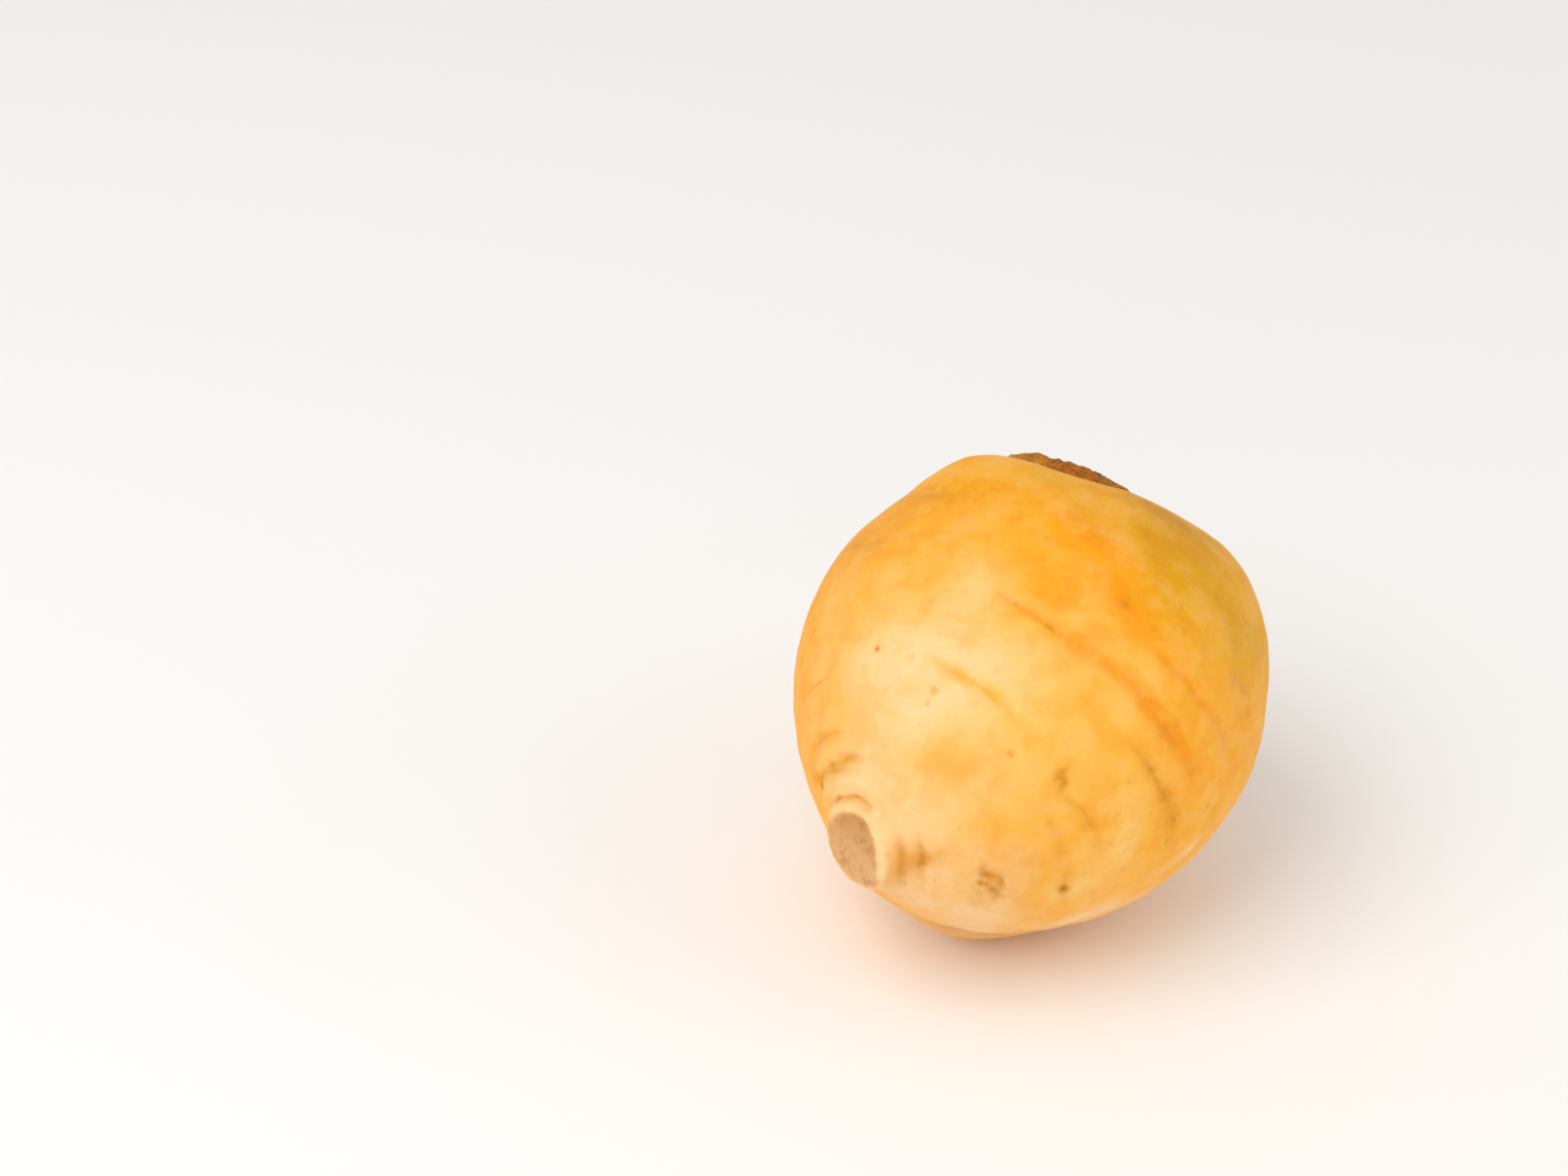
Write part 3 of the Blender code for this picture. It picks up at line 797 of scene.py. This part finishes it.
def golden_skin():
    """Turnip skin: the painted patches, some of them painted highlight and bounce light, under clouds,
    bands and mottle of deeper gold and peach, with fine brown streaks round the root and tiny pores. Broken
    brown cork lies on the rough places, and the same brown as painted contact shade in a thin ring round
    the crown. A thin crack lies in the creases, and end grain on the scar, darker towards its top."""
    material, tree, shader = new_material("golden_skin")
    place = lay(tree, "ShaderNodeTexCoord").outputs["Object"]
    grown = attribute(tree, "growth", "Vector")
    round_root = stretched(tree, grown, (1.0, 1.0, 7.0))
    loosely_round = stretched(tree, grown, (1.0, 1.0, 2.6))

    cloud = noise(tree, place, 85.0, 4.0, 0.6)
    blotch = noise(tree, place, 330.0, 4.0, 0.6)
    fine = noise(tree, place, 900.0, 3.0, 0.6)
    streak = noise(tree, round_root, 95.0, 5.0, 0.7)
    band = noise(tree, loosely_round, 78.0, 4.0, 0.6)
    mottle = noise(tree, place, 190.0, 3.0, 0.6)
    colour = attribute(tree, "skin_colour", "Vector")
    deeper = mixed(tree, 1.0, colour, (0.98, 0.84, 0.60), "MULTIPLY")
    paler = mixed(tree, 0.34, colour, linear(255, 222, 170))
    peachy = mixed(tree, 0.30, colour, linear(255, 190, 118))
    brownish = mixed(tree, 1.0, colour, (0.80, 0.68, 0.52), "MULTIPLY")
    # Each layer: its noise, where the noise starts it and where it is full, its strength and its colour.
    layers = (
        (cloud, 0.50, 0.70, 0.75, deeper),
        (cloud, 0.48, 0.28, 0.40, paler),
        (band, 0.51, 0.68, 0.65, deeper),
        (band, 0.48, 0.32, 0.50, peachy),
        (mottle, 0.50, 0.62, 0.55, deeper),
        (mottle, 0.49, 0.38, 0.60, peachy),
        (blotch, 0.54, 0.78, 0.45, brownish),
        (streak, 0.58, 0.80, 0.45, brownish),
    )
    for field, start, full, strength, laid_on in layers:
        colour = mixed(tree, ranged(tree, field, start, full, 0.0, strength), colour, laid_on)

    pore = lay(tree, "ShaderNodeTexVoronoi", {"Vector": place, "Scale": 230.0, "Randomness": 1.0})
    chosen = ranged(tree, noise(tree, place, 60.0, 2.0, 0.5), 0.52, 0.60)
    pore_share = ranged(tree, pore.outputs["Distance"], 0.11, 0.04, 0.0, 0.45)
    pore_share = product(tree, pore_share, chosen)
    colour = mixed(tree, pore_share, colour, brownish)

    # The cork field also carries the painted contact shade ring round the crown.
    cork = attribute(tree, "cork")
    grain = noise(tree, place, 430.0, 4.0, 0.65)
    broken = unevenness(tree, grain, 1.7)
    stain_and_shade = total(tree, cork, product(tree, broken, 0.35))
    stain_and_shade_share = ranged(tree, stain_and_shade, 0.1, 0.9, 0.0, 0.85)
    colour = mixed(tree, stain_and_shade_share, colour, linear(232, 154, 42))
    cork_share = ranged(tree, total(tree, cork, broken), 0.45, 1.10)
    cork_share = product(tree, cork_share, ranged(tree, cork, 0.1, 0.5))
    cork_brown = mixed(tree, ranged(tree, cork, 0.8, 1.2), linear(196, 120, 28), linear(140, 74, 8))
    colour = mixed(tree, cork_share, colour, cork_brown)

    crack = total(tree, attribute(tree, "crack"), unevenness(tree, blotch, 2.4))
    crack_share = ranged(tree, reckoned(tree, "ABSOLUTE", crack), 1.1, 0.1)
    crack_share = product(tree, crack_share, attribute(tree, "crack_strength"))
    crack_share = product(tree, crack_share, ranged(tree, grain, 0.40, 0.58, 0.30, 1.0))
    colour = mixed(tree, crack_share, colour, linear(196, 120, 14))

    scar = attribute(tree, "scar")
    up = lay(tree, "ShaderNodeSeparateXYZ", {0: place}).outputs["Z"]
    towards_top = ranged(tree, up, *SCAR_SHADE_HEIGHTS)
    end_grain = mixed(tree, towards_top, linear(220, 170, 118), linear(200, 146, 84))
    end_grain = mixed(tree, ranged(tree, blotch, 0.48, 0.68, 0.0, 0.6), end_grain, linear(186, 124, 72))
    end_grain = mixed(tree, ranged(tree, grain, 0.55, 0.75, 0.0, 0.7), end_grain, linear(150, 94, 50))
    colour = mixed(tree, scar, colour, end_grain)
    tree.links.new(colour, shader.inputs["Base Color"])

    rough = ranged(tree, cork_share, 0.0, 1.0, 0.56, 0.75)
    rough = reckoned(tree, "MAXIMUM", rough, product(tree, scar, 0.8))
    tree.links.new(rough, shader.inputs["Roughness"])
    height = product(tree, blotch, 0.5)
    height = total(tree, height, product(tree, streak, 0.5))
    height = total(tree, height, product(tree, fine, 0.15))
    height = reckoned(tree, "SUBTRACT", height, product(tree, cork_share, 0.6))
    bumped(tree, shader, height, 0.35, 0.0003)
    shader.inputs["Specular IOR Level"].default_value = 0.2
    shader.inputs["Subsurface Weight"].default_value = 0.10
    shader.inputs["Subsurface Radius"].default_value = (1.0, 0.5, 0.2)
    shader.inputs["Subsurface Scale"].default_value = 0.003
    return material


root_points = ROOT_CENTRE + ways * cut[:, None]
root = add_surface("turnip_root_skin", root_points, ring_faces(ROOT_ROWS - 1, ROOT_SIDES), golden_skin())
paint(root, growth=growth, skin_colour=skin_colour, cork=corky_marks, crack=crack,
      crack_strength=crack_strength, scar=on_scar)
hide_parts("turnip_root")


# The stem: the short woody neck that the leaves grew from, sliced off flat by a knife. It is one closed
# height field on the seat: a cream cut face in the middle, a steep side, and a low brown foot under the
# leaf stalks, wrinkled; its dark brown is partly painted shade, for where it shows between them.
CROWN_RADIUS = 0.0200
STEM_RADIUS = 0.0118
STEM_HEIGHT = 0.0088
STEM_SLOPE = 2.6
FOOT_HEIGHT = 0.0024
RIM_SQUARENESS = 12
STEM_RINGS = 120
STEM_SIDES = 300
STEM_UPPER_SHARE = 0.9
STEM_UNDERSIDE = -0.0008
CUT_EDGE = 0.0005
CUT_DISH = 0.00025
CUT_DISH_RADIUS = 0.006
CUT_MARKS = (0.00008, 0.0040, 55)
STEM_LOBES = (0.045, 0.020, 51)
STEM_NICKS = (0.015, 0.006, 54)
FOOT_LUMPS = (0.0006, 0.0030, 52)
BARK_WRINKLE = 0.0002
BARK_WAVES = (0.0016, 53)
BARK_FULL_HEIGHT = 0.002
RAYS_ROUND = 9.0
RAYS_OUT = 90.0
CROWN_TURN = np.array(Vector(SEAT_WAY).to_track_quat("Z", "Y").to_matrix())
CROWN_SEAT = ROOT_CENTRE + SEAT_MIDDLE


def on_crown(points):
    """Points measured from the seat, with the crown's axis as the third, as places in the frame."""
    return CROWN_SEAT + points @ CROWN_TURN.T


share = np.linspace(0.0, 1.0, STEM_RINGS + 1)[1:-1]
turns = np.linspace(0.0, 2.0 * math.pi, STEM_SIDES, endpoint=False)
grid_share, grid_turn = pole_grid(share, turns, 1.0)
upper = grid_share < STEM_UPPER_SHARE
out = CROWN_RADIUS * np.where(upper, np.sqrt(grid_share / STEM_UPPER_SHARE),
                              (1.0 - grid_share) / (1.0 - STEM_UPPER_SHARE))
plan = np.stack((out * np.cos(grid_turn), out * np.sin(grid_turn), np.zeros_like(out)), -1)
edge = STEM_RADIUS * (1.0 + wobble(plan, *STEM_LOBES) + wobble(plan, *STEM_NICKS))
height = STEM_HEIGHT - STEM_SLOPE * np.maximum(0.0, out - edge)
on_cut = smooth_step((edge - out) / CUT_EDGE) * upper
foot = FOOT_HEIGHT + wobble(plan, *FOOT_LUMPS)
height = np.maximum(height, foot) * np.maximum(0.0, 1.0 - (out / CROWN_RADIUS) ** RIM_SQUARENESS)
height -= on_cut * (CUT_DISH * bell(out, CUT_DISH_RADIUS) + np.abs(wobble(plan, *CUT_MARKS)))
wrinkles = wobble(plan, (1.0 - on_cut) * BARK_WRINKLE, *BARK_WAVES)
height += wrinkles * np.clip(height / BARK_FULL_HEIGHT, 0.0, 1.0)
height = np.where(upper, np.maximum(height, 0.0), STEM_UNDERSIDE)


def stem_flesh():
    """Stem: cream flesh on the cut, a faint ring of vessels and rays in it, brown and dry at its side, the
    dark brown partly painted shade for the gaps between the stalks.
    """
    material, tree, shader = new_material("cut_stem")
    plan_place = attribute(tree, "plan", "Vector")
    cloud = noise(tree, plan_place, 220.0, 4.0, 0.6)
    fine = noise(tree, plan_place, 1500.0, 4.0, 0.65)
    cream = mixed(tree, ranged(tree, cloud, 0.35, 0.68), linear(250, 232, 202), linear(238, 212, 170))
    wavy_axis = total(tree, attribute(tree, "from_axis"), unevenness(tree, cloud, 0.16))
    ring = ranged(tree, wavy_axis, 0.66, 0.76)
    ring = product(tree, ring, ranged(tree, wavy_axis, 0.90, 0.80))
    cream = mixed(tree, product(tree, ring, 0.45), cream, linear(226, 204, 140))
    rays = noise(tree, attribute(tree, "rays", "Vector"), 1.0, 3.0, 0.6)
    cream = mixed(tree, ranged(tree, rays, 0.54, 0.72, 0.0, 0.35), cream, linear(222, 190, 142))
    cream = mixed(tree, ranged(tree, wavy_axis, 0.88, 1.02, 0.0, 0.8), cream, linear(206, 170, 84))
    # Dark brown side: partly its own dry colour, partly painted shade for the gaps between the stalks.
    bark_and_gap_shade = mixed(tree, ranged(tree, cloud, 0.35, 0.65), linear(122, 72, 20), linear(176, 120, 30))
    bark_and_gap_shade = mixed(tree, ranged(tree, fine, 0.52, 0.72, 0.0, 0.7), bark_and_gap_shade, linear(84, 46, 12))
    colour = mixed(tree, attribute(tree, "on_cut"), bark_and_gap_shade, cream)
    tree.links.new(colour, shader.inputs["Base Color"])
    shader.inputs["Roughness"].default_value = 0.62
    shader.inputs["Specular IOR Level"].default_value = 0.3
    height = total(tree, fine, product(tree, rays, 0.6))
    bumped(tree, shader, height, 0.4, 0.00015)
    return material


stem = add_surface("cut_stem", on_crown(plan + height[:, None] * (0.0, 0.0, 1.0)),
                   ring_faces(STEM_RINGS - 1, STEM_SIDES), stem_flesh())
rays = np.stack((RAYS_ROUND * np.cos(grid_turn), RAYS_ROUND * np.sin(grid_turn), out * RAYS_OUT), -1)
paint(stem, plan=plan, from_axis=out / edge, rays=rays, on_cut=on_cut)
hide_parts("crown_leaf_bases")


# The leaf stalks: the bases that are left where the leaves were trimmed off, each a fleshy crescent that
# clasps the stem. They stand in a rising spiral, the lowest and oldest outside, with the thin scales of
# older ones at the rim. One side is painted brown as shade, the shade of a neighbour lying close against
# it, and a little of that brown lies all round. Each is one closed surface that grows out of the foot.
STALK_COUNT = 14
STALK_TURN = math.radians(137.508)
STALK_OUTERMOST = 0.0173
STALK_INNERMOST = 0.0132
STALK_LOWEST = 0.0046
STALK_HIGHEST = 0.0082
STALK_HALF_SIZES = (0.0104, 0.0022)
STALK_TIP_HEIGHT = 0.35
STALK_TIP_THICKNESS = 0.30
STALK_SIDE_RINGS = 22
STALK_TOP_RINGS = 12
STALK_SIDES = 96
STALK_ROOTED = 0.0006
STALK_BULGE = 0.0004
STALK_RIBS = 7
STALK_RIB_HEIGHT = 0.00016
STALK_TOP_HOLLOW = 0.0006
STALK_TOP_SHRINK = (0.93, 0.08)
STALK_TOP_EDGE = 0.12
STALK_TOP_WAVES = (0.0005, 0.006)
STALK_SKIN_WAVES = (0.00012, 0.0014)
STALK_LUMPS = (0.00022, 0.0030)
STALK_NARROWING = 0.22
STALK_BULGE_START = 0.1
STALK_TIPS_IN = 0.0007
STALK_MARKS_APART = 0.05
STALK_DRAW_SEED = 61
STALK_FIRST_SEED = 70
STALK_UNLIKE = (0.90, 1.06)
STALK_ASTRAY = (-0.12, 0.12)
SCALE_ASTRAY = (-0.15, 0.15)
SCALE_COUNT = 17
SCALE_MIDDLE = 0.0186
SCALE_HEIGHTS = (0.0018, 0.0036)
SCALE_HALF_SIZES = (0.0062, 0.0011)
# Painted shade on the crown: the side towards the viewer is browned, least all round, less on inner stalks.
SHADED_SIDE_TURN = math.radians(84.0)
SHADED_SIDE_LEAST = 0.12
SHADED_SIDE_START = -0.1
SHADED_SIDE_FADE = 0.7
SHADED_SIDE_LESS_INSIDE = 0.3


def stalk_base(turn, middle, tallest, half_sizes, seed):
    """Points, level, top, share aside and plan place of one leaf stalk base, from its foot to its top.

    In plan it is a crescent: an ellipse bent round the stem's axis, its half thickness times the root of
    1 less the share aside squared. Its sides rise with a bulge, a sine of the share up, and with ribs, a
    cosine of the place aside. The top is highest in the middle, and its rings shrink over a shallow
    hollow to the middle point.
    """
    half_width, half_thickness = half_sizes
    up = np.concatenate((np.linspace(0.0, 1.0, STALK_SIDE_RINGS), np.ones(STALK_TOP_RINGS - 1)))
    shrinking = np.linspace(*STALK_TOP_SHRINK, STALK_TOP_RINGS - 1)
    inwards = np.repeat(np.concatenate((np.ones(STALK_SIDE_RINGS), shrinking)), STALK_SIDES)
    inwards = np.concatenate(((0.0,), inwards, (0.0,)))
    up, step = pole_grid(up, np.linspace(0.0, 2.0 * math.pi, STALK_SIDES, endpoint=False), 1.0)
    aside = np.cos(step) * inwards
    body = np.sqrt(np.clip(1.0 - np.cos(step) ** 2, 0.0, 1.0))
    across = np.sign(np.sin(step)) * body * inwards
    thickness = half_thickness * (STALK_TIP_THICKNESS + (1.0 - STALK_TIP_THICKNESS) * body)
    level = STALK_TIP_HEIGHT + (1.0 - STALK_TIP_HEIGHT) * np.sqrt(np.clip(1.0 - aside ** 2, 0.0, 1.0))
    marks = np.stack((aside * half_width, across * thickness, up * tallest), -1) + seed * STALK_MARKS_APART
    top = tallest * level + wobble(marks * (1.0, 1.0, 0.0), *STALK_TOP_WAVES, seed)
    top -= STALK_TOP_HOLLOW * (1.0 - inwards)
    z = -STALK_ROOTED + up * (top + STALK_ROOTED)
    z += wobble(marks, *STALK_SKIN_WAVES, seed + 1) * up
    outer = np.maximum(0.0, np.sin(step))
    radius = middle + across * thickness * (1.0 - STALK_NARROWING * up)
    up_bulge = np.clip(up * (1.0 - STALK_BULGE_START) + STALK_BULGE_START, 0.0, 1.0)
    radius += STALK_BULGE * np.sin(math.pi * up_bulge) * outer * inwards
    radius += STALK_RIB_HEIGHT * np.cos(STALK_RIBS * math.pi * aside + seed) * outer * inwards
    radius += wobble(marks, *STALK_LUMPS, seed + 2) * inwards - STALK_TIPS_IN * aside ** 2
    angle = turn + aside * half_width / middle
    points = np.stack((radius * np.cos(angle), radius * np.sin(angle), z), -1)
    on_top = smooth_step((1.0 - inwards) / STALK_TOP_EDGE) * (up > 0.5)
    return points, up * level, on_top, np.abs(aside), marks


def leaf_stalk():
    """Leaf stalk: golden olive flesh with long fibres, brown at its edges, and a tan cut on top. Its foot
    is darkened and one side, cut and all, is browned, both as painted shade."""
    material, tree, shader = new_material("olive_leaf_stalk")
    marks = attribute(tree, "marks", "Vector")
    fibres = stretched(tree, marks, (1.0, 1.0, 0.12))
    cloud = noise(tree, marks, 230.0, 4.0, 0.6)
    fibre = noise(tree, fibres, 1500.0, 3.0, 0.6)
    fine = noise(tree, marks, 1300.0, 4.0, 0.65)
    up = attribute(tree, "up")
    dried = attribute(tree, "dried")
    colour = mixed(tree, ranged(tree, cloud, 0.38, 0.66), linear(212, 158, 26), linear(232, 192, 74))
    colour = mixed(tree, ranged(tree, fibre, 0.50, 0.72, 0.0, 0.50), colour, linear(164, 108, 16))
    # Painted shade: a brown laid on one side of each stalk, its cut top as well.
    shade_brown = mixed(tree, ranged(tree, fine, 0.40, 0.65), linear(178, 94, 8), linear(128, 58, 4))
    shade_brown_share = product(tree, dried, ranged(tree, cloud, 0.66, 0.40, 0.55, 1.0))
    colour = mixed(tree, shade_brown_share, colour, shade_brown)
    # Painted shade: each stalk darkened to deep brown towards its foot, down between the stalks.
    colour = mixed(tree, ranged(tree, up, 0.45, 0.05, 0.0, 0.9), colour, linear(92, 48, 10))
    edges = ranged(tree, attribute(tree, "aside"), 0.72, 1.0, 0.0, 0.7)
    colour = mixed(tree, edges, colour, linear(120, 68, 14))
    cut = mixed(tree, ranged(tree, cloud, 0.36, 0.64), linear(236, 200, 112), linear(212, 162, 60))
    cut = mixed(tree, ranged(tree, fine, 0.52, 0.74, 0.0, 0.5), cut, linear(176, 122, 40))
    cut = mixed(tree, dried, cut, shade_brown)
    cut_share = product(tree, attribute(tree, "on_top"), 0.85)
    colour = mixed(tree, cut_share, colour, cut)
    tree.links.new(colour, shader.inputs["Base Color"])
    shader.inputs["Roughness"].default_value = 0.6
    shader.inputs["Specular IOR Level"].default_value = 0.3
    height = total(tree, fibre, product(tree, fine, 0.4))
    bumped(tree, shader, height, 0.5, 0.0002)
    return material


stalk_flesh = leaf_stalk()
stalk_faces = ring_faces(STALK_SIDE_RINGS + STALK_TOP_RINGS - 1, STALK_SIDES)
stalk_draw = np.random.default_rng(STALK_DRAW_SEED)
stalks = []
for index in range(STALK_COUNT):
    progress = index / (STALK_COUNT - 1)
    middle = STALK_OUTERMOST + progress * (STALK_INNERMOST - STALK_OUTERMOST)
    tallest = STALK_LOWEST + progress * (STALK_HIGHEST - STALK_LOWEST)
    tallest *= stalk_draw.uniform(*STALK_UNLIKE)
    turn = index * STALK_TURN + stalk_draw.uniform(*STALK_ASTRAY)
    stalks.append((f"leaf_stalk_base_{index + 1:02d}", turn, middle, tallest, STALK_HALF_SIZES, progress))
for index in range(SCALE_COUNT):
    turn = 2.0 * math.pi * index / SCALE_COUNT + stalk_draw.uniform(*SCALE_ASTRAY)
    tallest = stalk_draw.uniform(*SCALE_HEIGHTS)
    stalks.append((f"leaf_scale_{index + 1:02d}", turn, SCALE_MIDDLE, tallest, SCALE_HALF_SIZES, 0.0))

for index, (name, turn, middle, tallest, half_sizes, progress) in enumerate(stalks):
    seed = STALK_FIRST_SEED + 3 * index
    points, up, on_top, aside, marks = stalk_base(turn, middle, tallest, half_sizes, seed)
    stalk = add_surface(name, on_crown(points), stalk_faces, stalk_flesh)
    # Painted shade: the share of brown, full on the side towards the viewer.
    towards_dried = np.cos(np.arctan2(points[:, 1], points[:, 0]) - SHADED_SIDE_TURN)
    dried = (1.0 - SHADED_SIDE_LEAST) * smooth_step((towards_dried - SHADED_SIDE_START) / SHADED_SIDE_FADE)
    dried = SHADED_SIDE_LEAST + dried * (1.0 - SHADED_SIDE_LESS_INSIDE * progress)
    paint(stalk, up=up, on_top=on_top, aside=aside, marks=marks, dried=dried)
    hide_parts("crown_leaf_bases")


bpy.context.view_layer.update()
